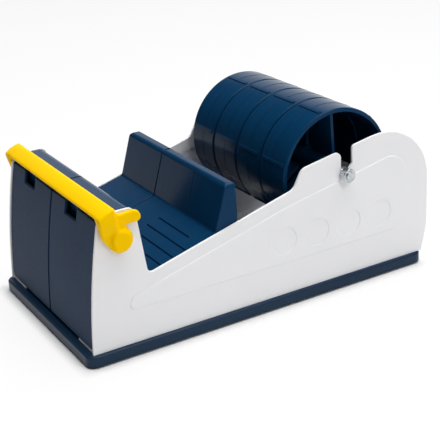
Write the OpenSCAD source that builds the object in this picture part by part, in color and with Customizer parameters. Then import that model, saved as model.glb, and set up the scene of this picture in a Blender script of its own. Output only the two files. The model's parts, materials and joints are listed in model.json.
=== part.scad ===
// Bench tape dispenser for four rolls: a weighted plinth with pressed side panels, two toothed
// blades under a swinging guard, tray mouldings with a guide wall, and a lift-out axle with hubs.
// X runs across, Y from front to back and Z up. The origin is on the rest face, under the
// centre of the plinth.

/* [Hubs] */
// Width of one hub
hub_w = 25.4; // [20:0.2:30]
// Radius of the hub's barrel, which takes a 76 mm core
hub_r = 37.5; // [34:0.1:40]
// Wall of the hub's barrel
hub_wall = 2.4; // [1.6:0.1:3.2]
// Gap between neighbouring hubs
hub_gap = 1.2; // [0.3:0.1:2]
// Gap from the outer hubs to the side panels
hub_side_gap = 6.7; // [3.5:0.05:8]
// Radius of the boss round the hub's bore
hub_boss_r = 7; // [6:0.1:9]
// Number of spokes between boss and barrel
hub_spoke_n = 3; // [2:1:6]
// Thickness of the spokes
hub_spoke_t = 2.2; // [1.2:0.1:3]
// Depth of the spokes' edges under the hub's end faces
hub_spoke_drop = 2; // [1:0.5:7]
// Turn of the first spoke from the horizontal
hub_spoke_turn = 93; // [0:0.5:120]
// Number of grip ribs
hub_rib_n = 6; // [3:1:8]
// Height of the grip ribs on the barrel
hub_rib_h = 0.6; // [0.3:0.1:1]
// Width of the grip ribs
hub_rib_w = 2; // [1.2:0.1:3]
// Length of plain barrel at both ends of the grip ribs
hub_rib_margin = 2.4; // [1:0.1:5]
// Turn of the first grip rib from the horizontal
hub_rib_turn = 44.5; // [0:0.5:60]
// Bevel of the barrel's end edges
hub_bevel = 0.6; // [0.3:0.1:1]
// Width of the parting line round the middle of the barrel
hub_line_w = 0.5; // [0.3:0.1:1.2]
// Height of the parting line
hub_line_h = 0.2; // [0.1:0.05:0.3]

/* [Axle] */
// Radius of the axle rod
axle_r = 4; // [3.5:0.1:5]
// Radius of the axle's threaded necks
neck_r = 2.5; // [2:0.1:3]
// Running clearance of the hubs on the rod
axle_running_gap = 0.05; // [0.02:0.01:0.1]
// Distance of the axle from the plinth's rear end
axle_from_rear = 58.6; // [54:0.2:66]
// Height of the axle above the plinth
axle_h = 65; // [60:0.5:70]
// Width of the slot that the neck drops through
slot_w = 8.1; // [7:0.1:10]
// Clearance of the neck in its seat
seat_gap = 0.15; // [0.1:0.05:0.3]
// Height of the slot's sloping floor above the axle, at the rear wall
slot_floor_h = 5.3; // [4:0.1:8]
// Width of the nut across its flats
nut_af = 8; // [7:0.5:10]
// Thickness of the nut
nut_t = 4; // [3:0.1:5]
// Thread left standing past the nut
thread_past_nut = 1; // [0.5:0.1:3]
// Radius of the spacer sleeves
spacer_r = 6.6; // [5.6:0.1:8]
// Room at both ends of the spacer sleeves
spacer_play = 0.3; // [0.2:0.05:0.6]

/* [Plinth] */
// Length of the plinth
base_l = 230; // [220:1:250]
// Height of the plinth without its mat
base_h = 6.5; // [5.5:0.1:12]
// Ledge of the plinth outside the side panels
base_ledge = 2; // [1:0.1:5]
// Radius of the plinth's corners
base_r = 6; // [4:0.5:12]
// Bevel round the plinth's top edge
base_bevel = 0.8; // [0.3:0.1:1.5]
// Wall round the pocket under the plinth
base_wall = 4; // [2.5:0.1:8]
// Thickness of the plinth's deck
base_deck = 2.4; // [1.6:0.1:3.4]
// Thickness of the non-slip mat
mat_t = 1; // [0.6:0.1:2]
// Distance of the mat from the plinth's edge
mat_inset = 2; // [1:0.1:2.4]
// Clearance round the ballast plate and under the deck
ballast_gap = 0.3; // [0.2:0.1:0.6]

/* [Side panels] */
// Thickness of the steel sheet
sheet_t = 1.5; // [1:0.1:2]
// Distance of the panel's foot from the plinth's front end
front_setback = 3.7; // [2:0.1:8]
// How far the front edge leans back over the lower half of the nose's height
lean_low = 2.3; // [1:0.1:4]
// How far the front edge leans back over the upper half of the nose's height
lean_high = 8.2; // [5:0.1:10]
// Length of straight edge between the front edge's bow and the nose's front corner
bow_straight = 3; // [2.5:0.5:20]
// Height of the nose above the plinth
nose_h = 79; // [74:0.5:84]
// Length of the nose's top
nose_l = 21; // [19:0.1:24]
// Radius of the nose's front corner
nose_front_r = 8; // [6:0.1:9]
// Radius of the nose's rear corner
nose_rear_r = 5; // [4:0.1:6]
// How far the nose's rear edge leans back to the valley
nose_rear_lean = 5; // [3:0.1:7]
// Height of the valley behind the nose, above the plinth
valley_h = 38.5; // [34:0.5:44]
// Radius at the bottom of the valley
valley_r = 3; // [1:0.5:5]
// Distance from the axle forward to the foot of the shoulder
shoulder_foot_back = 36.1; // [33:0.1:40]
// Distance from the axle forward to the top of the shoulder
shoulder_top_back = 30; // [26:0.1:32]
// Height of the shoulder's foot against the axle
shoulder_foot_h = -1.2; // [-4:0.1:2]
// Height of the shoulder's top above the axle
shoulder_top_h = 9.8; // [8:0.1:13]
// Radius of the shoulder's two bends
shoulder_r = 6; // [3:0.5:6.5]
// Slope of the lugs beside the slot, in degrees
lug_slope = 10; // [5:0.5:12]
// Radius of the lug's corner in front of the slot
lug_front_r = 3.5; // [1:0.5:5]
// Radius of the lug's corner behind the slot
lug_rear_r = 2.5; // [1:0.5:5]
// Radius of the rear round
rear_r = 36; // [28:0.5:38]
// How far the rear round stands past the plinth
rear_overhang = 4; // [1:0.1:6]
// Height above the plinth where the rear edge starts to draw in
rear_tuck_h = 16.5; // [12:0.5:20]
// Radius of the bend where the rear edge draws in
rear_tuck_r = 30; // [10:1:40]
// Width of the flange on the plinth
flange_w = 20; // [16:0.5:26]
// Distance of the flange's front end behind the panel's foot
flange_front = 0.8; // [0.4:0.1:4]
// Distance of the flange's rear end from the plinth's rear end
flange_rear = 21; // [18:0.5:30]

/* [Pressed field] */
// Height of the raised field in the side panels
press_h = 0.5; // [0.3:0.1:0.8]
// Distance of the field from the panel's foot and rear end
field_margin = 17.3; // [14:0.1:20]
// Height of the field's lower edge above the plinth
field_bottom = 20.3; // [16:0.1:24]
// Distance of the field's front end behind the panel's foot
field_front = 22.6; // [18:0.1:28]
// Distance of the field below the panel's rising edge
field_below_rise = 7.6; // [6:0.1:10]
// Distance of the field below the axle where it passes under it
field_below_axle = 2.3; // [1:0.1:5]
// Radius of the field's rear corners
field_rear_r = 13; // [8:0.5:15]
// Radius of the field's front corners
field_front_r = 3; // [1:0.5:3.5]
// Number of round dimples
dimple_n = 4; // [2:1:4]
// Radius of the round dimples
dimple_r = 8.4; // [6:0.1:9]
// Distance between the dimples
dimple_pitch = 23; // [20:0.1:24]
// Distance of the rear dimple behind the axle
dimple_rear = 25.1; // [20:0.1:28]
// Height of the dimples above the plinth
dimple_h = 34; // [32:0.1:36]

/* [Front covers and blades] */
// Distance of the covers behind the panel's front edge
cover_setback = 0.5; // [0.3:0.1:1]
// Wall of the covers
cover_t = 2.2; // [1.6:0.1:2.6]
// Gap between the two covers
cover_gap = 1.4; // [0.8:0.1:2.5]
// Distance of the covers' top edge below the nose's top
cover_drop = 4; // [3.4:0.1:6]
// Radius of the covers' lower outer corner
cover_corner_r = 3.5; // [1:0.5:6]
// Radius of the covers' other corners
cover_edge_r = 1; // [0.5:0.1:2]
// Depth of the covers' side walls
cover_return = 6; // [4:0.1:8]
// Width of the notch in the cover's top edge
notch_w = 15; // [8:0.5:18]
// Depth of the notch in the cover's top edge
notch_d = 7.6; // [4:0.1:9]
// Distance of the notches to the left of the covers' middles
notch_off = 2.6; // [0:0.1:4]
// Distance of the blade holder's face behind the nose's front corner
holder_setback = 2.2; // [1.9:0.1:4]
// Wall of the blade holders
holder_t = 2.2; // [1.6:0.1:2.8]
// Thickness of the lip in front of the blade
blade_lip_t = 1.6; // [1.2:0.1:2]
// Thickness of the blade
blade_t = 1; // [0.6:0.1:1.2]
// Clearance of the blade in its slot
blade_gap = 0.1; // [0.05:0.05:0.2]
// Depth of the slot under the holder's lip
blade_slot_d = 12; // [8:0.5:16]
// Distance of the lip's edge below the nose's top
blade_lip_drop = 4.5; // [4:0.1:7]
// Distance of the teeth's tips below the nose's top
tooth_drop = 1.6; // [1.2:0.1:2.5]
// Distance between the teeth
tooth_pitch = 2; // [1.5:0.1:3]
// Depth of the teeth
tooth_d = 1.6; // [0.8:0.1:2]
// Plain margin of the holder beside the blade
blade_margin = 3; // [2:0.1:5]
// Distance of the holder's top below the nose's top
holder_drop = 0.3; // [0.2:0.1:1]
// Distance of the holder inside the nose's rear edge
holder_rear_gap = 0.6; // [0.3:0.1:1]
// Radius of the holder's front top edge
holder_front_r = 3; // [1:0.5:3.5]
// Gap from the mouldings to the side panels
moulding_side_gap = 0.5; // [0.3:0.1:1]

/* [Guard] */
// Height of the guard's pivot below the nose's top
pivot_drop = 15.5; // [14.5:0.1:17]
// Distance of the guard's pivot behind the nose's front corner
pivot_back = 10.5; // [9.8:0.1:11.5]
// Radius of the guard's pivot pins
pin_r = 3; // [2.5:0.1:3.5]
// Running clearance of the pivot pins
pin_gap = 0.05; // [0.02:0.01:0.1]
// Clearance between the guard's hood and the nose
hood_gap = 0.6; // [0.5:0.1:2]
// Thickness of the guard's hood
hood_t = 2.4; // [1.6:0.1:3]
// Angle from the rear to the hood's rear edge
hood_rear_a = 102.5; // [98:0.5:108]
// Angle from the rear to the hood's front edge
hood_front_a = 131; // [128:0.5:134]
// Depth of the lip at the hood's front edge, inside the hood
hood_lip_d = 0.7; // [0.3:0.1:0.8]
// Width of the lip at the hood's front edge, in degrees
hood_lip_a = 7; // [5:0.5:10]
// Radius of the round edge at the hood's ends
hood_end_r = 2.2; // [1:0.1:2.4]
// How far that round's centre lies outside the place where it would meet the hood in a tangent
hood_end_off = 0.15; // [0.1:0.05:0.4]
// Thickness of the guard's arms
arm_t = 3; // [2:0.1:4]
// Gap between the guard's arms and the side panels
arm_gap = 0.4; // [0.3:0.1:1]
// How far the hood's ends reach past the arms' outer faces
hood_past = 3; // [1:0.1:4]
// Height above the pivot from which the arms flare out to the hood's ends
flare_low = 4; // [2:0.1:6]
// Height above the pivot at which that flare ends
flare_high = 11.5; // [9:0.1:12]
// Radius of the arms round the pivot
arm_r = 7.2; // [6.2:0.1:8]
// Radius of the round boss on each arm
boss_r = 5.9; // [5:0.1:7]
// Height of the round boss on each arm
boss_h = 2; // [1:0.1:3]
// Radius of the boss's edge
boss_edge_r = 1.2; // [0.5:0.1:1.5]
// Length of the thumb lever behind the pivot
lever_l = 12.6; // [10:0.1:16]
// Height of the thumb lever's lower edge above the pivot
lever_low = 8.2; // [7.6:0.1:9.5]
// Height of the thumb lever's upper edge above the pivot
lever_high = 15.4; // [14:0.1:16]
// Thickness of the push-on clips
clip_t = 1; // [0.6:0.1:1.4]
// Width of the push-on clips' ring
clip_w = 2; // [1.5:0.1:2.5]
// Clearance of the push-on clips on the pins
clip_gap = 0.05; // [0.02:0.01:0.1]
// Room round the clips, and between them and the side panels
clip_room = 0.4; // [0.3:0.1:1]
// Length of the pins past the clips
pin_past_clip = 0.8; // [0.4:0.1:1.5]
// How far the arms' front edge bulges in front of the pivot
arm_front = 10; // [9:0.1:12]
// Radius of that bulge
arm_front_r = 14; // [8:0.5:18]
// Distance of the notch between arm and thumb lever behind the pivot
lever_notch = 3.8; // [3:0.1:5]
// Radius of the thumb lever's lower end corner
lever_low_r = 2.4; // [1:0.1:3]
// Radius of the thumb lever's upper end corner
lever_high_r = 4.4; // [2:0.1:4.6]
// Fall of the thumb lever's upper edge towards the hood
lever_fall = 1; // [0:0.1:1.5]

/* [Tray] */
// Wall of the tray mouldings
tray_t = 2.2; // [1.6:0.1:3]
// Depth of the floor below the panels' rising edge
tray_drop = 0.4; // [0.2:0.1:1.5]
// Gap behind the blade holders
tray_front_gap = 0.9; // [0.5:0.1:1.5]
// Distance of the guide wall's rear face from the plinth's front end
wall_back = 98.4; // [92:0.2:104]
// Thickness of the guide wall at its foot
wall_foot_t = 14.7; // [12:0.1:18]
// Thickness of the guide wall at its top
wall_top_t = 6.4; // [5.5:0.1:9]
// Height of the guide wall above the plinth
wall_h = 76.7; // [70:0.5:82]
// Radius of the guide wall's front top edge
wall_front_r = 3; // [1:0.5:3.2]
// Radius of the guide wall's rear top edge
wall_rear_r = 1.5; // [0.5:0.1:2]
// Radius at the guide wall's foot
wall_foot_r = 2; // [1:0.5:4]
// Radius of the guide wall's corners at the side panels
wall_end_r = 3; // [1:0.1:4]
// Radius of the guide wall's corners at the seam
wall_seam_r = 1; // [0.3:0.1:1.5]
// Distance of the seam between the mouldings from the middle
seam_off = 14.5; // [8:0.5:24]
// Gap at the seam
seam_gap = 0.8; // [0.5:0.1:1.5]
// Number of grooves in the floor
groove_n = 4; // [1:1:4]
// Distance between the grooves
groove_pitch = 8; // [6:0.1:9]
// Distance of the rear groove in front of the guide wall's foot
groove_rear = 11.2; // [8:0.1:13]
// Width of the grooves
groove_w = 1.2; // [0.8:0.1:2]
// Depth of the grooves
groove_d = 0.9; // [0.4:0.1:1.2]
// Distance of the grooves' left ends from the middle
groove_left = 12; // [6:0.5:20]
// Distance of the rear groove's right end from the moulding's end
groove_short = 11; // [6:0.5:20]
// Distance of the score line on the guide wall from the middle
score_off = 25.5; // [15:0.5:35]
// Width and depth of the score line
score_w = 0.5; // [0.3:0.1:1]

/* [Rear panel and screws] */
// Height of the rear panel above the plinth
rear_panel_h = 28; // [15:0.5:32]
// Distance of the rear panel's outer face from the plinth's rear end
rear_panel_inset = 3.6; // [2.5:0.1:5]
// Width of the rear panel's flange
rear_flange_w = 14; // [10:0.5:16]
// Gap from the rear panel to the side panels
rear_panel_gap = 0.2; // [0.1:0.05:0.4]
// Radius of the screws' shanks
screw_r = 1.5; // [1.2:0.1:2]
// Clearance of the screws in the flanges
screw_gap = 0.2; // [0.1:0.05:0.4]
// Radius of the screws' heads
screw_head_r = 3; // [2.5:0.1:3.6]
// Height of the screws' heads
screw_head_h = 1.8; // [1.2:0.1:2.2]
// Distance of the screws' tips above the deck's underside
screw_tip_gap = 0.3; // [0.1:0.1:0.6]

/* [Hidden] */
$fn = 64;
hub_n = 4;
arc_steps = 10;
over = 1;
far = 40;

panel_white = "#e6e6e8";
navy = "#12304c";
slate = "#3a4557";
plinth_navy = "#22364a";
guard_yellow = "#ffd500";
zinc = "#c4c8cc";
steel = "#a9adb2";
rubber_black = "#222222";

// Places across the width, from the hubs outwards
hub_pitch = hub_w + hub_gap;
hubs_half = (hub_n * hub_pitch - hub_gap) / 2;
panel_in = hubs_half + hub_side_gap;
panel_out = panel_in + sheet_t;
field_out = panel_out + press_h;
base_w = 2 * (panel_out + base_ledge);
moulding_end = panel_in - moulding_side_gap;
arm_in = panel_out + arm_gap;
arm_out = arm_in + arm_t;
hood_end = arm_out + hood_past;

// Places from front to back and heights
base_front = -base_l / 2;
base_rear = base_l / 2;
base_top = mat_t + base_h;
flange_top = base_top + sheet_t;
axle_y = base_rear - axle_from_rear;
axle_z = base_top + axle_h;
foot_y = base_front + front_setback;
bow_y = foot_y + lean_low;
nose_y = bow_y + lean_high;
wall_rear_y = base_front + wall_back;
nose_rear_y = nose_y + nose_l;
nose_z = base_top + nose_h;
bow_z = base_top + nose_h / 2;
valley_y = nose_rear_y + nose_rear_lean;
valley_z = base_top + valley_h;
shoulder_foot = [axle_y - shoulder_foot_back, axle_z + shoulder_foot_h];
shoulder_top = [axle_y - shoulder_top_back, axle_z + shoulder_top_h];
rise = (shoulder_foot[1] - valley_z) / (shoulder_foot[0] - valley_y);
rise_a = atan(rise);
seat_r = neck_r + seat_gap;
slot_front = axle_y - seat_r;
slot_rear = slot_front + slot_w;
seat_rear = axle_y + seat_r;
rear_y = base_rear + rear_overhang;
pivot = [nose_y + pivot_back, nose_z - pivot_drop];

// Height of the panels' rising edge and of the lugs' top
function rise_z(y) = valley_z + rise * (y - valley_y);
function lug_z(y) = shoulder_top[1] + tan(lug_slope) * (y - shoulder_top[0]);
// Place of the panels' front edge, as its two straight halves run
function front_y(z) = z < bow_z ? foot_y + lean_low * (z - base_top) / (bow_z - base_top)
    : bow_y + lean_high * (z - bow_z) / (nose_z - bow_z);

function unit(v) = v / norm(v);
function cross2(a, b) = a[0] * b[1] - a[1] * b[0];
function wrapped(a) = a > 180 ? a - 360 : a < -180 ? a + 360 : a;
function polar(r, a) = r * [cos(a), sin(a)];
function point(p, i) = let (q = p[(i + len(p)) % len(p)]) [q[0], q[1]];

// Centre of the arc that rounds corner b between its neighbours a and c
function arc_centre(a, b, c, r) =
    let (u = unit(a - b), v = unit(c - b))
    b + unit(u + v) * r / sin(acos(u * v) / 2);

// Points of that arc, or the bare corner where it has no radius
function corner(a, b, c, r) = r == 0 ? [b] :
    let (
        centre = arc_centre(a, b, c, r),
        half = acos(unit(a - b) * unit(c - b)) / 2,
        first = b + unit(a - b) * r / tan(half) - centre,
        last = b + unit(c - b) * r / tan(half) - centre,
        start = atan2(first[1], first[0]),
        sweep = wrapped(atan2(last[1], last[0]) - start)
    )
    [for (i = [0 : arc_steps]) centre + polar(r, start + sweep * i / arc_steps)];

// Closed outline from a list of corners, each a place and a radius
function outline(p) = [
    for (i = [0 : len(p) - 1]) each corner(point(p, i - 1), point(p, i), point(p, i + 1), p[i][2])
];

// The same list of corners, moved inwards by d; the list runs anticlockwise
function inset(p, d) = [
    for (i = [0 : len(p) - 1])
        let (
            u = unit(point(p, i) - point(p, i - 1)),
            v = unit(point(p, i + 1) - point(p, i)),
            n = [-u[1], u[0]],
            m = [-v[1], v[0]],
            moved = point(p, i) + d * (n + u * cross2(m - n, v) / cross2(u, v)),
            r = p[i][2],
            left_turn = cross2(u, v) > 0
        )
        [moved[0], moved[1], r == 0 ? 0 : left_turn ? max(r - d, 0) : r + d]
];

// The corners of a moulding with its foot moved down, so that its hollow is open below
function open_below(p) = [for (c = p) c[1] == flange_top ? [c[0], -far, 0] : c];

// Stands a profile of Y and Z up and runs it along X
module along_x(from, to) {
    translate([from, 0, 0])
        rotate([90, 0, 90])
            linear_extrude(to - from)
                children();
}

// Stands a profile of X and Z up and runs it along Y
module along_y(from, to) {
    translate([0, to, 0])
        rotate([90, 0, 0])
            linear_extrude(to - from)
                children();
}

// A round bar along X, about the line through [y, z]
module bar_x(from, to, r, at) {
    translate([from, at[0], at[1]])
        rotate([0, 90, 0])
            cylinder(h = to - from, r = r);
}

// The children on both sides of the object
module both_sides() {
    children();
    mirror([1, 0, 0])
        children();
}

// A flat slab with round corners and a bevelled top edge
module slab(w, l, h, r, bevel) {
    straight_w = w / 2 - r;
    straight_l = l / 2 - r;
    along_x(-straight_w, straight_w)
        slab_profile(l, h, bevel);
    rotate([0, 0, 90])
        along_x(-straight_l, straight_l)
            slab_profile(w, h, bevel);
    for (x = [-straight_w, straight_w], y = [-straight_l, straight_l])
        translate([x, y, 0])
            rotate_extrude()
                intersection() {
                    slab_profile(2 * r, h, bevel);
                    square([r, h]);
                }
}

module slab_profile(l, h, bevel) {
    polygon([
        [-l / 2, 0], [l / 2, 0], [l / 2, h - bevel],
        [l / 2 - bevel, h], [bevel - l / 2, h], [-l / 2, h - bevel]
    ]);
}

// Places of the screws: three in each side flange and two in the rear flange
screw_x = panel_in - flange_w / 2;
screw_front_y = nose_y + nose_l / 2;
screw_tray_y = (valley_y + wall_rear_y) / 2;
screw_rear_y = base_rear - flange_rear - flange_w / 2;
rear_panel_y = base_rear - rear_panel_inset;
rear_flange_y = rear_panel_y - rear_flange_w;
screw_places = [
    for (x = [-screw_x, screw_x], y = [screw_front_y, screw_tray_y, screw_rear_y]) [x, y],
    for (x = [-1, 1] * screw_x / 2) [x, rear_flange_y + rear_flange_w / 2]
];

// Plinth, mat and ballast
pocket_w = base_w - 2 * base_wall;
pocket_l = base_l - 2 * base_wall;
pocket_h = base_h - base_deck;
pocket_r = max(base_r - base_wall, 1);

module base_plinth() {
    color(plinth_navy)
        translate([0, 0, mat_t])
            difference() {
                slab(base_w, base_l, base_h, base_r, base_bevel);
                translate([0, 0, -over])
                    slab(pocket_w, pocket_l, pocket_h + over, pocket_r, 0);
                for (p = screw_places)
                    translate([p[0], p[1], 0])
                        cylinder(h = base_h + over, r = screw_r);
            }
}

module base_mat() {
    color(rubber_black)
        slab(base_w - 2 * mat_inset, base_l - 2 * mat_inset, mat_t, base_r - mat_inset, 0);
}

module ballast_plate() {
    color(steel)
        translate([0, 0, mat_t])
            slab(pocket_w - 2 * ballast_gap, pocket_l - 2 * ballast_gap, pocket_h - ballast_gap,
                pocket_r, 0);
}

// Bow of the front edge, as round as the upper half of the edge leaves room for
front_low = unit([lean_low, nose_h / 2]);
front_high = unit([lean_high, nose_h / 2]);
front_high_l = norm([lean_high, nose_h / 2]);
nose_tangent = nose_front_r * tan(acos(front_high[0]) / 2);
front_bow_r = (front_high_l - nose_tangent - bow_straight) / tan(acos(front_low * front_high) / 2);

// Side panels, flanges and screws
panel_corners = [
    [foot_y, base_top, 0],
    [base_rear, base_top, 0],
    [rear_y, base_top + rear_tuck_h, rear_tuck_r],
    [rear_y, lug_z(rear_y), rear_r],
    [slot_rear, lug_z(slot_rear), lug_rear_r],
    [slot_rear, axle_z + slot_floor_h, 0],
    [seat_rear, axle_z + slot_floor_h - (slot_rear - seat_rear), 0],
    [seat_rear, axle_z, 0],
    [slot_front, axle_z, 0],
    [slot_front, lug_z(slot_front), lug_front_r],
    [shoulder_top[0], shoulder_top[1], shoulder_r],
    [shoulder_foot[0], shoulder_foot[1], shoulder_r],
    [valley_y, valley_z, valley_r],
    [nose_rear_y, nose_z, nose_rear_r],
    [nose_y, nose_z, nose_front_r],
    [bow_y, bow_z, front_bow_r]
];

field_front_y = foot_y + field_front;
field_rear_y = rear_y - field_margin;
field_bottom_z = base_top + field_bottom;
field_bend_y = shoulder_foot[0] - field_below_rise;
field_bend_z = rise_z(field_bend_y) - field_below_rise;
field_top_front_y = field_front_y + field_front_r;

// Top line of the field, which passes under the axle
field_rise = (axle_z - field_below_axle - field_bend_z) / (axle_y - field_bend_y);
function field_top_z(y) = field_bend_z + field_rise * (y - field_bend_y);

field_corners = [
    [field_front_y, field_bottom_z, field_front_r],
    [field_rear_y, field_bottom_z, field_rear_r],
    [field_rear_y, field_top_z(field_rear_y), field_rear_r],
    [field_bend_y, field_top_z(field_bend_y), field_rear_r],
    [field_top_front_y, rise_z(field_top_front_y) - field_below_rise, field_front_r]
];

module dimples() {
    for (i = [0 : dimple_n - 1])
        translate([axle_y + dimple_rear - i * dimple_pitch, base_top + dimple_h])
            circle(dimple_r);
}

// Right side panel; the raised field is pressed out of the sheet, and the dimples are left in it
module side_panel() {
    flange_y = foot_y + flange_front;
    color(panel_white)
        difference() {
            union() {
                along_x(panel_in, panel_out)
                    polygon(outline(panel_corners));
                along_x(panel_out - sheet_t / 2, field_out)
                    difference() {
                        polygon(outline(field_corners));
                        dimples();
                    }
                translate([panel_in - flange_w, flange_y, base_top])
                    cube([flange_w + sheet_t / 2, base_rear - flange_rear - flange_y, sheet_t]);
            }
            along_x(panel_in - over, panel_in + press_h)
                difference() {
                    polygon(outline(field_corners));
                    dimples();
                }
            bar_x(panel_in - over, field_out + over, seat_r, [axle_y, axle_z]);
            bar_x(panel_in - over, panel_out + over, pin_r + pin_gap, pivot);
            for (y = [screw_front_y, screw_tray_y, screw_rear_y])
                translate([screw_x, y, base_top - over])
                    cylinder(h = sheet_t + 2 * over, r = screw_r + screw_gap);
        }
}

module side_panel_left() {
    mirror([1, 0, 0])
        side_panel();
}

module side_panel_right() {
    side_panel();
}

module rear_panel() {
    half_w = panel_in - rear_panel_gap;
    color(panel_white)
        difference() {
            along_x(-half_w, half_w)
                polygon([
                    [rear_flange_y, base_top], [rear_panel_y, base_top],
                    [rear_panel_y, base_top + rear_panel_h],
                    [rear_panel_y - sheet_t, base_top + rear_panel_h],
                    [rear_panel_y - sheet_t, flange_top], [rear_flange_y, flange_top]
                ]);
            for (x = [-1, 1] * screw_x / 2)
                translate([x, rear_flange_y + rear_flange_w / 2, base_top - over])
                    cylinder(h = sheet_t + 2 * over, r = screw_r + screw_gap);
        }
}

// One pan-head screw, with its head's underside at z = 0
module screw() {
    shank = sheet_t + base_deck - screw_tip_gap;
    translate([0, 0, -shank])
        cylinder(h = shank, r = screw_r);
    rotate_extrude()
        polygon([
            [0, 0], [screw_head_r, 0], [screw_head_r, screw_head_h / 2],
            [screw_head_r - screw_head_h / 2, screw_head_h], [0, screw_head_h]
        ]);
}

module flange_screws() {
    color(zinc)
        for (p = screw_places)
            translate([p[0], p[1], flange_top])
                screw();
}

// Blade holders: hollow columns on the flanges, with a rounded nose and a slot for the blade
holder_front_y = nose_y + holder_setback;
holder_top = nose_z - holder_drop;
slot_y = holder_front_y + blade_lip_t;
slot_t = blade_t + 2 * blade_gap;
lip_top = nose_z - blade_lip_drop;
slot_bottom = lip_top - blade_slot_d;
holder_in = cover_gap / 2;
holder_corners = [
    [slot_y + slot_t, flange_top, 0],
    [valley_y - holder_rear_gap, flange_top, 0],
    [valley_y - holder_rear_gap, valley_z, 0],
    [nose_rear_y - holder_rear_gap, holder_top, nose_rear_r],
    [slot_y + slot_t, holder_top, holder_front_r]
];

module blade_holder() {
    end_wall = moulding_end - pin_end + clip_room + holder_t;
    color(navy)
        difference() {
            union() {
                along_x(holder_in, moulding_end)
                    polygon(outline(holder_corners));
                along_x(holder_in, moulding_end)
                    polygon([
                        [holder_front_y, flange_top], [slot_y + slot_t, flange_top],
                        [slot_y + slot_t, slot_bottom], [slot_y, slot_bottom],
                        [slot_y, lip_top], [holder_front_y, lip_top]
                    ]);
            }
            along_x(holder_in + holder_t, moulding_end - end_wall)
                polygon(outline(inset(open_below(holder_corners), holder_t)));
            bar_x(pin_end - clip_room, panel_in, pin_r + clip_w + clip_room, pivot);
        }
}

module blade_holder_left() {
    mirror([1, 0, 0])
        blade_holder();
}

module blade_holder_right() {
    blade_holder();
}

// Blade: a strip with a toothed upper edge
blade_from = holder_in + blade_margin;
blade_len = moulding_end - blade_margin - blade_from;
tooth_n = floor(blade_len / tooth_pitch);

module blade() {
    tip_z = nose_z - tooth_drop;
    toothed = tooth_n * tooth_pitch;
    color(steel)
        translate([blade_from + (blade_len - toothed) / 2, slot_y + blade_gap + blade_t, 0])
            rotate([90, 0, 0])
                linear_extrude(blade_t)
                    polygon([
                        [0, slot_bottom], [0, tip_z - tooth_d],
                        for (i = [0 : tooth_n - 1]) each [
                            [(i + 0.5) * tooth_pitch, tip_z], [(i + 1) * tooth_pitch, tip_z - tooth_d]
                        ],
                        [toothed, slot_bottom]
                    ]);
}

module blade_left() {
    mirror([1, 0, 0])
        blade();
}

module blade_right() {
    blade();
}

// Front covers: bowed shells between the panels' front edges, on the flanges
cover_foot = flange_top + moulding_side_gap;
cover_top = nose_z - cover_drop;

function cover_front(z) = front_y(z) + cover_setback;

module cover_section(depth) {
    polygon(outline([
        [cover_front(cover_foot), cover_foot, 0],
        [cover_front(cover_foot) + depth, cover_foot, 0],
        [bow_y + cover_setback + depth, bow_z, front_bow_r - depth],
        [min(cover_front(cover_top) + depth, holder_front_y - moulding_side_gap), cover_top, 0],
        [cover_front(cover_top), cover_top, cover_t / 2],
        [bow_y + cover_setback, bow_z, front_bow_r]
    ]));
}

module front_cover(notch_x) {
    color(slate)
        difference() {
            union() {
                along_x(cover_gap / 2, moulding_end)
                    cover_section(cover_t);
                for (x = [cover_gap / 2, moulding_end - cover_t])
                    along_x(x, x + cover_t)
                        cover_section(cover_return);
                for (x = [1, 2] * moulding_end / 3)
                    along_x(x - cover_t / 2, x + cover_t / 2)
                        polygon([
                            [cover_front(cover_foot) + cover_t / 2, cover_foot],
                            [holder_front_y, cover_foot],
                            [holder_front_y, bow_z],
                            [cover_front(bow_z) + cover_t, bow_z]
                        ]);
            }
            translate([notch_x - notch_w / 2, foot_y, cover_top - notch_d])
                cube([notch_w, far, notch_d + over]);
            along_y(foot_y - over, holder_front_y + over)
                difference() {
                    translate([0, cover_foot - over])
                        square([moulding_end + over, cover_top - cover_foot + 2 * over]);
                    polygon(outline([
                        [cover_gap / 2, cover_foot, cover_edge_r],
                        [moulding_end, cover_foot, cover_corner_r],
                        [moulding_end, cover_top, cover_edge_r],
                        [cover_gap / 2, cover_top, cover_edge_r]
                    ]));
                }
        }
}

module front_cover_left() {
    mirror([1, 0, 0])
        front_cover(moulding_end / 2 + notch_off);
}

module front_cover_right() {
    front_cover(moulding_end / 2 - notch_off);
}

// Tray mouldings: sloping floor and guide wall in one shell, open below, on the flanges
tray_front_y = valley_y - holder_rear_gap + tray_front_gap;
wall_top = base_top + wall_h;
wall_foot_y = wall_rear_y - wall_foot_t;
wall_face_y = wall_rear_y - wall_top_t;
function floor_z(y) = rise_z(y) - tray_drop;
tray_corners = [
    [tray_front_y, flange_top, 0],
    [wall_rear_y, flange_top, 0],
    [wall_rear_y, wall_top, wall_rear_r],
    [wall_face_y, wall_top, wall_front_r],
    [wall_foot_y, floor_z(wall_foot_y), wall_foot_r],
    [tray_front_y, floor_z(tray_front_y), 0]
];

module tray(from, to, from_r, to_r) {
    difference() {
        intersection() {
            along_x(from, to)
                polygon(outline(tray_corners));
            along_y(tray_front_y, wall_rear_y)
                polygon(outline([
                    [from, flange_top, 0], [to, flange_top, 0],
                    [to, wall_top, to_r], [from, wall_top, from_r]
                ]));
        }
        along_x(from + tray_t, to - tray_t)
            polygon(outline(inset(open_below(tray_corners), tray_t)));
    }
}

module tray_narrow() {
    color(navy)
        tray(-moulding_end, -seam_off - seam_gap / 2, wall_end_r, wall_seam_r);
}

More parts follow.
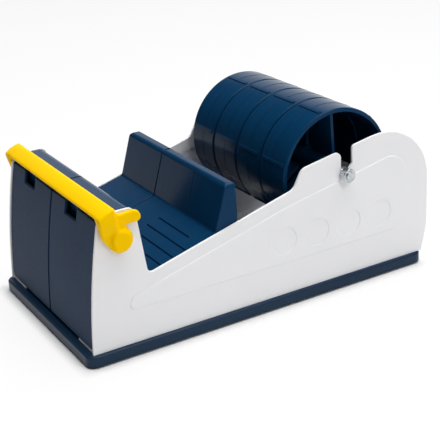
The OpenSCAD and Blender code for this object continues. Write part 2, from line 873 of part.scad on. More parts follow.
module tray_wide() {
    color(navy)
        difference() {
            tray(-seam_off + seam_gap / 2, moulding_end, wall_seam_r, wall_end_r);
            for (i = [0 : groove_n - 1]) {
                y = wall_foot_y - groove_rear - i * groove_pitch;
                groove_right = i == 0 ? moulding_end - groove_short : moulding_end + over;
                translate([groove_left, y, floor_z(y)])
                    rotate([rise_a, 0, 0])
                        translate([0, -groove_w / 2, -groove_d])
                            cube([groove_right - groove_left, groove_w, far]);
            }
            score_line();
        }
}

// Score line down the guide wall's leaning face
module score_line() {
    lean = atan2(wall_face_y - wall_foot_y, wall_top - floor_z(wall_foot_y));
    translate([score_off, wall_face_y, wall_top])
        rotate([-lean, 0, 0])
            translate([-score_w / 2, -score_w, -far])
                cube([score_w, 2 * score_w, far]);
}

// Axle: a shouldered rod with threaded necks, nuts outside the panels and sleeves inside
shoulder_x = panel_in - spacer_play;
nut_in = field_out + arm_gap;
neck_end = nut_in + nut_t + thread_past_nut;
axle = [axle_y, axle_z];

module axle_rod() {
    color(zinc) {
        bar_x(-shoulder_x, shoulder_x, axle_r, axle);
        bar_x(-neck_end, neck_end, neck_r, axle);
    }
}

module axle_nuts() {
    corner_r = nut_af / sqrt(3);
    color(zinc)
        both_sides()
            translate([nut_in, axle_y, axle_z])
                rotate([0, 90, 0])
                    difference() {
                        intersection() {
                            cylinder(h = nut_t, r = corner_r, $fn = 6);
                            rotate_extrude()
                                polygon([
                                    [0, 0], [corner_r, 0], [corner_r, nut_t - (corner_r - nut_af / 2)],
                                    [nut_af / 2, nut_t], [0, nut_t]
                                ]);
                        }
                        translate([0, 0, -over])
                            cylinder(h = nut_t + 2 * over, r = neck_r + axle_running_gap);
                    }
}

module hub_spacers() {
    color(rubber_black)
        both_sides()
            difference() {
                bar_x(hubs_half + spacer_play, shoulder_x, spacer_r, axle);
                bar_x(hubs_half, panel_in, axle_r + axle_running_gap, axle);
            }
}

// One hub: barrel, boss, spokes and grip ribs, from x = 0 along the axle
module hub() {
    rib_l = hub_w - 2 * hub_rib_margin;
    spoke_w = hub_w - 2 * hub_spoke_drop;
    spoke_l = hub_r - hub_wall - hub_boss_r + 2 * over;
    color(navy)
        translate([0, axle_y, axle_z])
            difference() {
                union() {
                    rotate([0, 90, 0])
                        rotate_extrude($fn = 128)
                            hub_section();
                    for (i = [0 : hub_spoke_n - 1])
                        rotate([i * 360 / hub_spoke_n + hub_spoke_turn, 0, 0])
                            translate([hub_spoke_drop, hub_boss_r - over, -hub_spoke_t / 2])
                                cube([spoke_w, spoke_l, hub_spoke_t]);
                    for (i = [0 : hub_rib_n - 1])
                        rotate([i * 360 / hub_rib_n + hub_rib_turn, 0, 0])
                            translate([hub_rib_margin, hub_r - over, -hub_rib_w / 2])
                                cube([rib_l, over + hub_rib_h, hub_rib_w]);
                }
                bar_x(-over, hub_w + over, axle_r + axle_running_gap, [0, 0]);
            }
}

// Half section of the hub, with the axle along its second axis
module hub_section() {
    square([hub_boss_r, hub_w]);
    polygon([
        [hub_r - hub_wall, 0], [hub_r - hub_bevel, 0], [hub_r, hub_bevel],
        [hub_r, hub_w - hub_bevel], [hub_r - hub_bevel, hub_w], [hub_r - hub_wall, hub_w]
    ]);
    translate([hub_r - over, (hub_w - hub_line_w) / 2])
        square([over + hub_line_h, hub_line_w]);
}

module hub_at(i) {
    translate([i * hub_pitch - hubs_half, 0, 0])
        hub();
}

module hub_1() {
    hub_at(0);
}

module hub_2() {
    hub_at(1);
}

module hub_3() {
    hub_at(2);
}

module hub_4() {
    hub_at(3);
}

// Guard: a hood about the pivot line, arms outside the panels, pins in the panels' bores
nose_rear_centre =
    arc_centre([nose_y, nose_z], [nose_rear_y, nose_z], [valley_y, valley_z], nose_rear_r);
hood_in_r = norm(nose_rear_centre - pivot) + nose_rear_r + hood_gap;
hood_out_r = hood_in_r + hood_t;
hood_mid_r = hood_in_r + hood_t / 2;
hood_lip_r = hood_in_r - hood_lip_d;
clip_out = panel_in - clip_room;
pin_end = clip_out - clip_t - pin_past_clip;

// Ring sector about the pivot
module sector(r_in, r_out, a_from, a_to) {
    reach = 2 * r_out;
    intersection() {
        difference() {
            circle(r_out, $fn = 180);
            circle(r_in, $fn = 180);
        }
        polygon([[0, 0], polar(reach, a_from), polar(reach, (a_from + a_to) / 2), polar(reach, a_to)]);
    }
}

module hood_profile() {
    sector(hood_in_r, hood_out_r, hood_rear_a, hood_front_a);
    sector(hood_lip_r, hood_out_r, hood_front_a - hood_lip_a, hood_front_a);
    translate(polar(hood_mid_r, hood_rear_a))
        circle(hood_t / 2);
}

// Ring about the pivot line that rounds the outer edge at the guard's right end
module end_ring() {
    rotate([0, 90, 0])
        rotate_extrude()
            translate([hood_out_r, hood_end] + [1, 1] * (hood_end_off - hood_end_r))
                difference() {
                    square(hood_end_r + over);
                    circle(hood_end_r);
                }
}

// Arm between the hood and the pivot, seen from the right
module arm_profile() {
    front = polar(hood_out_r, hood_front_a);
    rear = polar(hood_mid_r, hood_rear_a);
    crown = polar(hood_mid_r, (hood_rear_a + hood_front_a) / 2);
    circle(arm_r);
    polygon(outline([
        [front[0], front[1], 0],
        [-arm_front, 0, arm_front_r],
        [0, -arm_r, 0],
        [lever_notch, 0, 0],
        [lever_notch, lever_low + hood_t, 0],
        [rear[0], rear[1], 0],
        [crown[0], crown[1], 0]
    ]));
}

// Front part of the arm, under the hood's end
module flare_profile() {
    intersection() {
        arm_profile();
        polygon([[0, 0], polar(hood_mid_r, hood_rear_a), [0, far], [-far, far], [-far, 0]]);
    }
}

// What the right arm's slanted outer face leaves out
module flare_cut() {
    along_y(-far, far)
        polygon([
            [arm_out, -far], [arm_out, flare_low], [hood_end, flare_high],
            [hood_end + over, flare_high], [hood_end + over, -far]
        ]);
}

// Thumb lever behind the arm
module lever_profile() {
    polygon(outline([
        [0, lever_low, 0],
        [lever_l, lever_low, lever_low_r],
        [lever_l, lever_high, lever_high_r],
        [0, lever_high - lever_fall, 0]
    ]));
}

module blade_guard() {
    color(guard_yellow)
        translate([0, pivot[0], pivot[1]]) {
            difference() {
                union() {
                    along_x(-hood_end, hood_end)
                        hood_profile();
                    both_sides()
                        along_x(arm_in, hood_end)
                            flare_profile();
                }
                both_sides()
                    end_ring();
                both_sides()
                    flare_cut();
            }
            both_sides()
                along_x(arm_in, arm_out)
                    arm_profile();
            both_sides()
                rotate([0, 90, 0])
                    rotate_extrude()
                        boss_section();
            along_x(arm_in, arm_out)
                lever_profile();
        }
}

// Half section of the pin and the round boss, with the pivot line along its second axis
module boss_section() {
    polygon(outline([
        [0, pin_end, 0], [pin_r, pin_end, 0], [pin_r, arm_in, 0], [boss_r, arm_in, 0],
        [boss_r, arm_out + boss_h, boss_edge_r], [0, arm_out + boss_h, 0]
    ]));
}

module guard_clips() {
    color(zinc)
        both_sides()
            difference() {
                bar_x(clip_out - clip_t, clip_out, pin_r + clip_w, pivot);
                bar_x(clip_out - 2 * clip_t, panel_in, pin_r + clip_gap, pivot);
            }
}

base_plinth();
base_mat();
ballast_plate();
side_panel_left();
side_panel_right();
rear_panel();
flange_screws();
front_cover_left();
front_cover_right();
blade_holder_left();
blade_holder_right();
blade_left();
blade_right();
tray_narrow();
tray_wide();
axle_rod();
axle_nuts();
hub_spacers();
hub_1();
hub_2();
hub_3();
hub_4();
blade_guard();
guard_clips();
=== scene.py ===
"""Looks of a bench tape dispenser: moulded plastics, powder-coated sheet, zinc and steel."""

import json
import math

import bmesh
import bpy
from mathutils import Matrix, Vector


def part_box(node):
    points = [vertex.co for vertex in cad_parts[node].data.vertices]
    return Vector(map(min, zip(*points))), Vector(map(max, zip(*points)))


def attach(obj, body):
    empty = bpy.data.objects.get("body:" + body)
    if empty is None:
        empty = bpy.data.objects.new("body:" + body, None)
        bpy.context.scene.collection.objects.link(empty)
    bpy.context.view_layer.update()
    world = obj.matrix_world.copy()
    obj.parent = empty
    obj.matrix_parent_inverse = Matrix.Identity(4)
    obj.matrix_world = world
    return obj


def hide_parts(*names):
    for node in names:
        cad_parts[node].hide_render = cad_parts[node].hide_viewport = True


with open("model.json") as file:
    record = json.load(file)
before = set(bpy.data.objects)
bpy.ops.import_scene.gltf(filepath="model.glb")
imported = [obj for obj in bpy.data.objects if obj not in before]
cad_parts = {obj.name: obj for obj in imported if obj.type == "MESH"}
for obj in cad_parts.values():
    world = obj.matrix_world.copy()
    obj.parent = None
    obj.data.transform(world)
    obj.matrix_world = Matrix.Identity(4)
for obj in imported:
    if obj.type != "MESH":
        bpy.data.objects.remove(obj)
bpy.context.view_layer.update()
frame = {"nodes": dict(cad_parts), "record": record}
nodes = frame["nodes"]
record = frame["record"]
body_of = {node: body for body, held in record["behaviour"]["bodies"].items() for node in held}
slot_of = {part["node"]: part["material_slot"] for part in record["subparts"]}
scene = bpy.context.scene
MM = 0.001

# Points closer than this are one point, and points this near to a plane lie on it
WELD = 0.001 * MM
ON_PLANE = 0.01 * MM

# Middle part of a noise's range, where most of its values lie
SHADE_SPAN = (0.35, 0.65)
RELIEF_SPAN = (0.3, 0.7)


# Small helpers

def colour(hex_code):
    """A linear colour from an sRGB hex code."""
    parts = [int(hex_code[i:i + 2], 16) / 255 for i in (1, 3, 5)]
    return [c / 12.92 if c <= 0.04045 else ((c + 0.055) / 1.055) ** 2.4 for c in parts] + [1.0]


def add(tree, kind, inputs=None, **settings):
    """A node with its settings; each input is a value, or another node's socket to link."""
    made = tree.nodes.new(kind)
    for name, value in settings.items():
        setattr(made, name, value)
    for key, value in (inputs or {}).items():
        if isinstance(value, bpy.types.NodeSocket):
            tree.links.new(value, made.inputs[key])
        else:
            made.inputs[key].default_value = value
    return made


def per_mm(size):
    """Scale of a pattern whose features are this many millimetres across."""
    return 1 / (size * MM)


def finish(name, base, roughness, **sockets):
    """A material with a Principled shader, its tree and the shader itself."""
    made = bpy.data.materials.new(name)
    made.use_nodes = True
    shader = made.node_tree.nodes["Principled BSDF"]
    shader.inputs["Base Color"].default_value = colour(base)
    shader.inputs["Roughness"].default_value = roughness
    for key, value in sockets.items():
        shader.inputs[key.replace("_", " ")].default_value = value
    return made, made.node_tree, shader


def shaded(tree, shader, low, high, size, stretch=(1, 1, 1)):
    """Slow change of colour over the surface, between two close shades; the size is in millimetres."""
    place = add(tree, "ShaderNodeTexCoord")
    drawn = add(tree, "ShaderNodeMapping", {"Vector": place.outputs["Object"], "Scale": stretch})
    cloud = add(tree, "ShaderNodeTexNoise",
                {"Vector": drawn.outputs["Vector"], "Scale": per_mm(size), "Detail": 3.0})
    ramp = add(tree, "ShaderNodeValToRGB", {"Fac": cloud.outputs["Fac"]})
    for stop, position, shade in zip(ramp.color_ramp.elements, SHADE_SPAN, (low, high)):
        stop.position = position
        stop.color = colour(shade)
    tree.links.new(ramp.outputs["Color"], shader.inputs["Base Color"])


def grained(tree, shader, size, depth, smooth, rough, stretch=(1, 1, 1)):
    """Fine relief, with a roughness that follows it between two values; its sizes are in millimetres."""
    place = add(tree, "ShaderNodeTexCoord")
    drawn = add(tree, "ShaderNodeMapping", {"Vector": place.outputs["Object"], "Scale": stretch})
    relief = add(tree, "ShaderNodeTexNoise",
                 {"Vector": drawn.outputs["Vector"], "Scale": per_mm(size), "Detail": 2.0})
    bump = add(tree, "ShaderNodeBump",
               {"Height": relief.outputs["Fac"], "Distance": depth * MM, "Strength": 1.0})
    span = add(tree, "ShaderNodeMapRange",
               {"Value": relief.outputs["Fac"], "From Min": RELIEF_SPAN[0], "From Max": RELIEF_SPAN[1],
                "To Min": smooth, "To Max": rough})
    tree.links.new(bump.outputs["Normal"], shader.inputs["Normal"])
    tree.links.new(span.outputs["Result"], shader.inputs["Roughness"])


# Finishes

# Powder-coated steel sheet: semi-matt white with a faint orange peel
white_coat, tree, shader = finish("powder_coated_steel_white", "#EEEEF0", roughness=0.45)
shaded(tree, shader, "#EDEDEF", "#EFEFF1", size=60)
grained(tree, shader, size=1.6, depth=0.008, smooth=0.42, rough=0.5)

# Moulded ABS from a polished tool: deep navy, a satin gloss and faint flow lines round the barrels
navy_abs, tree, shader = finish("moulded_abs_navy", "#053253", roughness=0.17, Specular_IOR_Level=0.09)
shaded(tree, shader, "#053151", "#053456", size=1.5, stretch=(1, 0.03, 0.03))
grained(tree, shader, size=2.5, depth=0.001, smooth=0.15, rough=0.19, stretch=(1, 0.1, 0.1))

# Moulded ABS from a spark-eroded tool: slate navy with a fine matt grain that scatters the light
slate_abs, tree, shader = finish("moulded_abs_slate", "#1B3452", roughness=0.5, Specular_IOR_Level=0.09)
shaded(tree, shader, "#1A3250", "#1D3654", size=30)
grained(tree, shader, size=0.9, depth=0.01, smooth=0.46, rough=0.56)

# Moulded polypropylene: dark navy plinth with a soft sheen
navy_pp, tree, shader = finish("moulded_polypropylene_navy", "#102C45", roughness=0.36,
                               Specular_IOR_Level=0.2)
shaded(tree, shader, "#0F2A43", "#122F48", size=45)
grained(tree, shader, size=1.6, depth=0.004, smooth=0.32, rough=0.4)

# Moulded ABS from a polished tool: safety yellow with a soft gloss
yellow_abs, tree, shader = finish("moulded_abs_yellow", "#FFCB00", roughness=0.3, Specular_IOR_Level=0.02)
shaded(tree, shader, "#FFC900", "#FFCD00", size=50)
grained(tree, shader, size=3.0, depth=0.003, smooth=0.27, rough=0.34)

# Zinc-plated steel: pale grey metal with a cloudy, slightly uneven brightness
zinc_plate, tree, shader = finish("zinc_plated_steel", "#C6CACE", roughness=0.34, Metallic=1.0)
shaded(tree, shader, "#B4BABF", "#D2D6D8", size=5)
grained(tree, shader, size=0.9, depth=0.006, smooth=0.24, rough=0.4)

# Ground tool steel: bright metal with fine grinding lines across the blade
ground_steel, tree, shader = finish("ground_blade_steel", "#B8BBBF", roughness=0.28, Metallic=1.0)
shaded(tree, shader, "#ADB1B5", "#C3C6C9", size=8)
grained(tree, shader, size=0.5, depth=0.006, smooth=0.2, rough=0.38, stretch=(0.1, 1, 1))

# Hot-rolled steel plate: dull grey with a dark scale
rolled_steel, tree, shader = finish("hot_rolled_steel", "#5A5D61", roughness=0.55, Metallic=1.0)
shaded(tree, shader, "#4C4F53", "#686B6F", size=12)
grained(tree, shader, size=1.0, depth=0.02, smooth=0.45, rough=0.65)

# Turned acetal: black sleeve with a waxy dull surface
black_acetal, tree, shader = finish("turned_acetal_black", "#151517", roughness=0.45)
shaded(tree, shader, "#121214", "#19191C", size=10)
grained(tree, shader, size=0.6, depth=0.008, smooth=0.38, rough=0.52, stretch=(6, 1, 1))

# EVA foam rubber: black mat with an open, pebbled skin
eva_rubber, tree, shader = finish("eva_foam_rubber", "#1C1C1E", roughness=0.85)
shaded(tree, shader, "#19191B", "#222225", size=15)
grained(tree, shader, size=1.5, depth=0.15, smooth=0.8, rough=0.92)

finishes = {
    "white_sheet": white_coat,
    "navy_plastic": navy_abs,
    "slate_plastic": slate_abs,
    "plinth_plastic": navy_pp,
    "yellow_plastic": yellow_abs,
    "zinc_steel": zinc_plate,
    "blade_steel": ground_steel,
    "plain_steel": rolled_steel,
    "black_plastic": black_acetal,
    "mat_rubber": eva_rubber,
}
for node, part in nodes.items():
    part.data.materials.clear()
    part.data.materials.append(finishes[slot_of[node]])


# Pieces with rounded edges, which stand for the plain solids

FLAT_TURN = math.radians(0.3)
EDGE_STEPS = 3


def merged(node):
    """The joined-up faces of a CAD piece, ready to be worked on."""
    work = bmesh.new()
    work.from_mesh(nodes[node].data)
    bmesh.ops.remove_doubles(work, verts=work.verts, dist=WELD)
    bmesh.ops.dissolve_limit(work, angle_limit=FLAT_TURN, verts=work.verts, edges=work.edges)
    return work


def object_from(name, work):
    """A new object with the worked faces, shaded smooth."""
    mesh = bpy.data.meshes.new(name)
    for face in work.faces:
        face.smooth = True
    work.to_mesh(mesh)
    work.free()
    made = bpy.data.objects.new(name, mesh)
    scene.collection.objects.link(made)
    return made


def settled(piece):
    """The same piece with its modifiers worked into a plain mesh."""
    bpy.context.view_layer.update()
    shown = piece.evaluated_get(bpy.context.evaluated_depsgraph_get())
    plain = bpy.data.meshes.new_from_object(shown)
    piece.modifiers.clear()
    piece.data = plain
    return piece


def stands_for(piece, node):
    """Gives a finished piece the body and the finish of the CAD piece that it stands for."""
    piece.data.materials.clear()
    piece.data.materials.append(finishes[slot_of[node]])
    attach(piece, body_of[node])
    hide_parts(node)


def rounded(name, node, radius, shaped=None, turn=24):
    """A copy of a CAD piece, shaped further and rounded by a radius in millimetres at edges over a turn."""
    work = merged(node)
    if shaped:
        shaped(work)
    piece = object_from(name, work)
    bevel = piece.modifiers.new("edges", "BEVEL")
    bevel.width = radius * MM
    bevel.segments = EDGE_STEPS
    bevel.limit_method = "ANGLE"
    bevel.angle_limit = math.radians(turn)
    bevel.use_clamp_overlap = False
    even = piece.modifiers.new("even_shading", "WEIGHTED_NORMAL")
    even.keep_sharp = True
    stands_for(settled(piece), node)


PRESS_SLOPE = 0.45 * MM


def drawn_field(work):
    """Draws in the upper edges of the pressed field and its dimples, so that their walls slope."""
    outer = max(abs(vert.co.x) for vert in work.verts)
    moves = []
    for vert in work.verts:
        walls = [face.normal for face in vert.link_faces if abs(face.normal.x) < 0.5]
        if walls and outer - abs(vert.co.x) < ON_PLANE:
            moves.append((vert, sum(walls, Vector()).normalized()))
    for vert, outward in moves:
        vert.co -= outward * PRESS_SLOPE


# Parting line of a hub: its rise, where its CAD form lies, and the barrel's share of the ribs' reach
SEAM_RISE = 0.06 * MM
SEAM_HALF = 0.5 * MM
SEAM_LOW = 0.1 * MM
SEAM_HIGH = 0.3 * MM
BARREL_SHARE = 0.95
# Spokes of a hub: depth of their edges under the end faces, and how much they thin towards them
SPOKE_DROP = 2.0 * MM
SPOKE_DRAFT = 0.22
nut_low, nut_high = (Vector(c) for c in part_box("axle_nuts"))
axle_middle = (nut_low + nut_high) / 2


def moulded_hub(work):
    """Gives a hub's spokes draft to their ends, and lowers its middle line to a mould's parting line."""
    low, high = (pick(vert.co.x for vert in work.verts) for pick in (min, max))
    for end in (low + SPOKE_DROP, high - SPOKE_DROP):
        spots = {vert: vert.co.copy() for vert in work.verts if abs(vert.co.x - end) < ON_PLANE}
        for vert, spot in spots.items():
            others = (s for v, s in spots.items() if v is not vert)
            vert.co = spot.lerp(min(others, key=lambda s: (s - spot).length), SPOKE_DRAFT)
    middle = (low + high) / 2
    near_seam = [vert for vert in work.verts if abs(vert.co.x - middle) < SEAM_HALF]
    band = [(vert, (vert.co - axle_middle).yz) for vert in near_seam]
    ribs = max(out.length for vert, out in band)
    foot = min(out.length for vert, out in band if out.length > BARREL_SHARE * ribs)
    for vert, out in band:
        if SEAM_LOW < out.length - foot < SEAM_HIGH:
            vert.co.yz = axle_middle.yz + out.normalized() * (foot + SEAM_RISE)


for side in ("left", "right"):
    rounded(f"side_pressing_{side}", f"side_panel_{side}", radius=0.22, shaped=drawn_field, turn=18)
    rounded(f"front_shell_{side}", f"front_cover_{side}", radius=0.5)
    rounded(f"nose_moulding_{side}", f"blade_holder_{side}", radius=0.2)
for size in ("narrow", "wide"):
    rounded(f"tray_moulding_{size}", f"tray_{size}", radius=0.35)
for number in range(1, 5):
    rounded(f"hub_moulding_{number}", f"hub_{number}", radius=0.1, shaped=moulded_hub)
rounded("plinth_moulding", "base_plinth", radius=0.35)
rounded("rear_sheet", "rear_panel", radius=0.25)
rounded("axle_shaft", "axle_rod", radius=0.3)
rounded("hex_nuts", "axle_nuts", radius=0.05)

# Guard: one soft moulding, with every edge and every inner corner rounded
GUARD_VOXEL = 0.5 * MM
SOFTENING = 0.5
SOFTENING_ROUNDS = 20
FACES_KEPT = 0.4
guard = object_from("guard_moulding", merged("blade_guard"))
even = guard.modifiers.new("even_faces", "REMESH")
even.mode = "VOXEL"
even.voxel_size = GUARD_VOXEL
even.use_smooth_shade = True
soft = guard.modifiers.new("soft_corners", "SMOOTH")
soft.factor = SOFTENING
soft.iterations = SOFTENING_ROUNDS
fewer = guard.modifiers.new("fewer_faces", "DECIMATE")
fewer.ratio = FACES_KEPT
stands_for(settled(guard), "blade_guard")


# Pieces that repeat, made by node trees

def grown(name, tree, values, start=None):
    """A plain mesh from a node tree, with its named inputs set."""
    made = bpy.data.objects.new(name, start or bpy.data.meshes.new(name))
    scene.collection.objects.link(made)
    growth = made.modifiers.new("growth", "NODES")
    growth.node_group = tree
    for item in tree.interface.items_tree:
        if item.in_out == "INPUT" and item.name in values:
            growth[item.identifier] = values[item.name]
    return settled(made)


def new_tree(name, **inputs):
    """An empty node tree with its named inputs, each given by its kind of socket."""
    tree = bpy.data.node_groups.new(name, "GeometryNodeTree")
    for label, kind in inputs.items():
        tree.interface.new_socket(label.replace("_", " "), in_out="INPUT",
                                  socket_type="NodeSocket" + kind)
    tree.interface.new_socket("Geometry", in_out="OUTPUT", socket_type="NodeSocketGeometry")
    return tree, add(tree, "NodeGroupInput").outputs


def close_tree(tree, shape, material):
    """Ends a tree: instances made real, and the finish put on."""
    real = add(tree, "GeometryNodeRealizeInstances", {"Geometry": shape})
    coated = add(tree, "GeometryNodeSetMaterial", {"Geometry": real.outputs[0], "Material": material})
    add(tree, "NodeGroupOutput", {"Geometry": coated.outputs[0]})


# Blades: a ground strip with a row of pointed teeth
TOOTH_PITCH = 2.0 * MM
TOOTH_DEPTH = 1.6 * MM
TOOTH_SINK = 0.05 * MM
tree, given = new_tree("toothed_strip", Length="Float", Thickness="Float", Height="Float",
                       Tooth_Count="Int", Tooth_Pitch="Float", Tooth_Depth="Float", Tooth_Sink="Float")
strip_size = add(tree, "ShaderNodeCombineXYZ",
                 {0: given["Length"], 1: given["Thickness"], 2: given["Height"]})
strip = add(tree, "GeometryNodeMeshCube", {"Size": strip_size.outputs[0]})
half_height = add(tree, "ShaderNodeMath", {0: given["Height"], 1: 2}, operation="DIVIDE")
base_radius = add(tree, "ShaderNodeMath",
                  {0: given["Tooth Pitch"], 1: math.sqrt(2)}, operation="DIVIDE")
tooth_height = add(tree, "ShaderNodeMath",
                   {0: given["Tooth Depth"], 1: given["Tooth Sink"]}, operation="ADD")
cone = add(tree, "GeometryNodeMeshCone",
           {"Vertices": 4, "Radius Bottom": base_radius.outputs[0], "Depth": tooth_height.outputs[0]})
square = add(tree, "GeometryNodeTransform",
             {"Geometry": cone.outputs["Mesh"], "Rotation": (0, 0, math.pi / 4)})
flatness = add(tree, "ShaderNodeMath",
               {0: given["Thickness"], 1: given["Tooth Pitch"]}, operation="DIVIDE")
tooth_scale = add(tree, "ShaderNodeCombineXYZ", {0: 1.0, 1: flatness.outputs[0], 2: 1.0})
tooth = add(tree, "GeometryNodeTransform",
            {"Geometry": square.outputs[0], "Scale": tooth_scale.outputs[0]})
spread = add(tree, "ShaderNodeMath",
             {0: given["Tooth Pitch"], 1: given["Length"]}, operation="SUBTRACT")
first_x = add(tree, "ShaderNodeMath", {0: spread.outputs[0], 1: 2}, operation="DIVIDE")
row_z = add(tree, "ShaderNodeMath",
            {0: half_height.outputs[0], 1: given["Tooth Sink"]}, operation="SUBTRACT")
row_start = add(tree, "ShaderNodeCombineXYZ", {0: first_x.outputs[0], 2: row_z.outputs[0]})
row_step = add(tree, "ShaderNodeCombineXYZ", {0: given["Tooth Pitch"]})
row = add(tree, "GeometryNodeMeshLine",
          {"Count": given["Tooth Count"], "Start Location": row_start.outputs[0],
           "Offset": row_step.outputs[0]})
teeth = add(tree, "GeometryNodeInstanceOnPoints",
            {"Points": row.outputs[0], "Instance": tooth.outputs[0]})
blade_parts = add(tree, "GeometryNodeJoinGeometry", {"Geometry": strip.outputs["Mesh"]})
tree.links.new(teeth.outputs[0], blade_parts.inputs["Geometry"])
close_tree(tree, blade_parts.outputs[0], ground_steel)

for side in ("left", "right"):
    low, high = (Vector(c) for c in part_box(f"blade_{side}"))
    size = high - low
    blade = grown(f"toothed_blade_{side}", tree, {
        "Length": size.x, "Thickness": size.y, "Height": size.z - TOOTH_DEPTH,
        "Tooth Count": round(size.x / TOOTH_PITCH), "Tooth Pitch": TOOTH_PITCH,
        "Tooth Depth": TOOTH_DEPTH, "Tooth Sink": TOOTH_SINK})
    middle = (low + high - Vector((0, 0, TOOTH_DEPTH))) / 2
    blade.data.transform(Matrix.Translation(middle))
    stands_for(blade, f"blade_{side}")

# Flange screws: pan heads with a cross recess, each turned as it was driven
SCREW_HEAD_R = 3.0 * MM
SCREW_HEAD_H = 1.8 * MM
SCREW_SHANK_R = 1.5 * MM
RECESS_W = 1.0 * MM
RECESS_L = 3.6 * MM
RECESS_D = 1.1 * MM
SCREW_STEPS = 24
TURN_SEED = 7
# Round of the head from its side to its top, as shares of its radius and height
HEAD_ROUND = ((1, 0.35), (0.9, 0.7), (0.65, 0.93))


def screw_template(shank):
    """One screw with its head's underside at the origin."""
    profile = [(0, -shank), (SCREW_SHANK_R, -shank), (SCREW_SHANK_R, 0), (SCREW_HEAD_R, 0)]
    profile += [(SCREW_HEAD_R * r, SCREW_HEAD_H * h) for r, h in HEAD_ROUND]
    profile.append((0, SCREW_HEAD_H))
    work = bmesh.new()
    verts = [work.verts.new((r, 0, z)) for r, z in profile]
    edges = [work.edges.new(pair) for pair in zip(verts, verts[1:])]
    bmesh.ops.spin(work, geom=verts + edges, cent=(0, 0, 0), axis=(0, 0, 1), angle=math.tau,
                   steps=SCREW_STEPS)
    bmesh.ops.remove_doubles(work, verts=work.verts, dist=WELD)
    bmesh.ops.recalc_face_normals(work, faces=work.faces)
    screw = object_from("screw_template", work)
    cross = bmesh.new()
    for turn in (0, math.pi / 2):
        place = Matrix.Translation((0, 0, SCREW_HEAD_H)) @ Matrix.Rotation(turn, 4, "Z")
        bmesh.ops.create_cube(cross, size=1,
                              matrix=place @ Matrix.Diagonal((RECESS_L, RECESS_W, 2 * RECESS_D, 1)))
    cutter = object_from("recess_cutter", cross)
    cut = screw.modifiers.new("recess", "BOOLEAN")
    cut.object = cutter
    cut.use_self = True
    settled(screw)
    bpy.data.objects.remove(cutter)
    return screw


def island_boxes(node):
    """Lowest and highest corner of each separate solid in a CAD piece."""
    work = merged(node)
    left = set(work.verts)
    boxes = []
    while left:
        found = [left.pop()]
        for vert in found:
            near = {edge.other_vert(vert) for edge in vert.link_edges} & left
            found.extend(near)
            left -= near
        spots = [vert.co.copy() for vert in found]
        boxes.append(tuple(Vector(pick(s[i] for s in spots) for i in range(3)) for pick in (min, max)))
    work.free()
    return boxes


tree, given = new_tree("driven_screws", Places="Geometry", Screw="Object", Turn_Seed="Int")
one = add(tree, "GeometryNodeObjectInfo", {"Object": given["Screw"]})
turn = add(tree, "FunctionNodeRandomValue", {"Seed": given["Turn Seed"]}, data_type="FLOAT")
turn.inputs[3].default_value = math.pi
turned = add(tree, "ShaderNodeCombineXYZ", {2: turn.outputs[1]})
driven = add(tree, "GeometryNodeInstanceOnPoints",
             {"Points": given["Places"], "Instance": one.outputs["Geometry"],
              "Rotation": turned.outputs[0]})
close_tree(tree, driven.outputs[0], zinc_plate)

screw_boxes = sorted(island_boxes("flange_screws"), key=lambda box: tuple(box[0]))
seats = [((low + high) / 2).xy.to_3d() + Vector((0, 0, high.z - SCREW_HEAD_H))
         for low, high in screw_boxes]
screw = screw_template(seats[0].z - screw_boxes[0][0].z)
places = bpy.data.meshes.new("screw_places")
places.from_pydata(seats, [], [])
screws = grown("pan_head_screws", tree, {"Screw": screw, "Turn Seed": TURN_SEED}, places)
bpy.data.objects.remove(screw)
stands_for(screws, "flange_screws")

# Axle ends: a rolled thread that shows outside the nuts
THREAD_PITCH = 0.8 * MM
THREAD_RIDGE = 0.14 * MM
THREAD_STEPS = 32
RIDGE_SIDES = 6
NECK_R = 2.5 * MM
tree, given = new_tree("rolled_thread", Turns="Float", Radius="Float", Rise="Float", Ridge="Float",
                       End="Float")
helix = add(tree, "GeometryNodeCurveSpiral",
            {"Resolution": THREAD_STEPS, "Rotations": given["Turns"], "Start Radius": given["Radius"],
             "End Radius": given["Radius"], "Height": given["Rise"]})
ridge = add(tree, "GeometryNodeCurvePrimitiveCircle", {"Resolution": RIDGE_SIDES, "Radius": given["Ridge"]})
wound = add(tree, "GeometryNodeCurveToMesh",
            {"Curve": helix.outputs[0], "Profile Curve": ridge.outputs[0], "Fill Caps": True})
far_end = add(tree, "ShaderNodeCombineXYZ", {0: given["End"]})
right_end = add(tree, "GeometryNodeTransform",
                {"Geometry": wound.outputs[0], "Rotation": (0, -math.pi / 2, 0),
                 "Translation": far_end.outputs[0]})
left_end = add(tree, "GeometryNodeTransform",
               {"Geometry": right_end.outputs[0], "Rotation": (0, 0, math.pi)})
both_ends = add(tree, "GeometryNodeJoinGeometry", {"Geometry": right_end.outputs[0]})
tree.links.new(left_end.outputs[0], both_ends.inputs["Geometry"])
close_tree(tree, both_ends.outputs[0], zinc_plate)

axle_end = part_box("axle_rod")[1][0]
shown = axle_end - nut_high.x - 2 * THREAD_RIDGE
thread = grown("axle_thread", tree, {
    "Turns": shown / THREAD_PITCH, "Radius": NECK_R, "Rise": shown, "Ridge": THREAD_RIDGE,
    "End": axle_end - THREAD_RIDGE})
thread.data.transform(Matrix.Translation((0, axle_middle.y, axle_middle.z)))
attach(thread, "axle")


# Studio

def lamp(name, size, power, place, aim):
    """A square soft lamp that faces a point; its size and place are in metres and its power in watts."""
    data = bpy.data.lights.new(name, "AREA")
    data.shape = "SQUARE"
    data.size = size
    data.energy = power
    made = bpy.data.objects.new(name, data)
    made.location = place
    made.rotation_euler = (Vector(aim) - Vector(place)).to_track_quat("-Z", "Y").to_euler()
    scene.collection.objects.link(made)


lamp("softbox_top", size=1.2, power=20, place=(0.0, 0.15, 1.2), aim=(0, 0, 0.05))
lamp("softbox_right", size=0.5, power=3.7, place=(0.9, 0.2, 0.8), aim=(0.06, 0, 0.05))

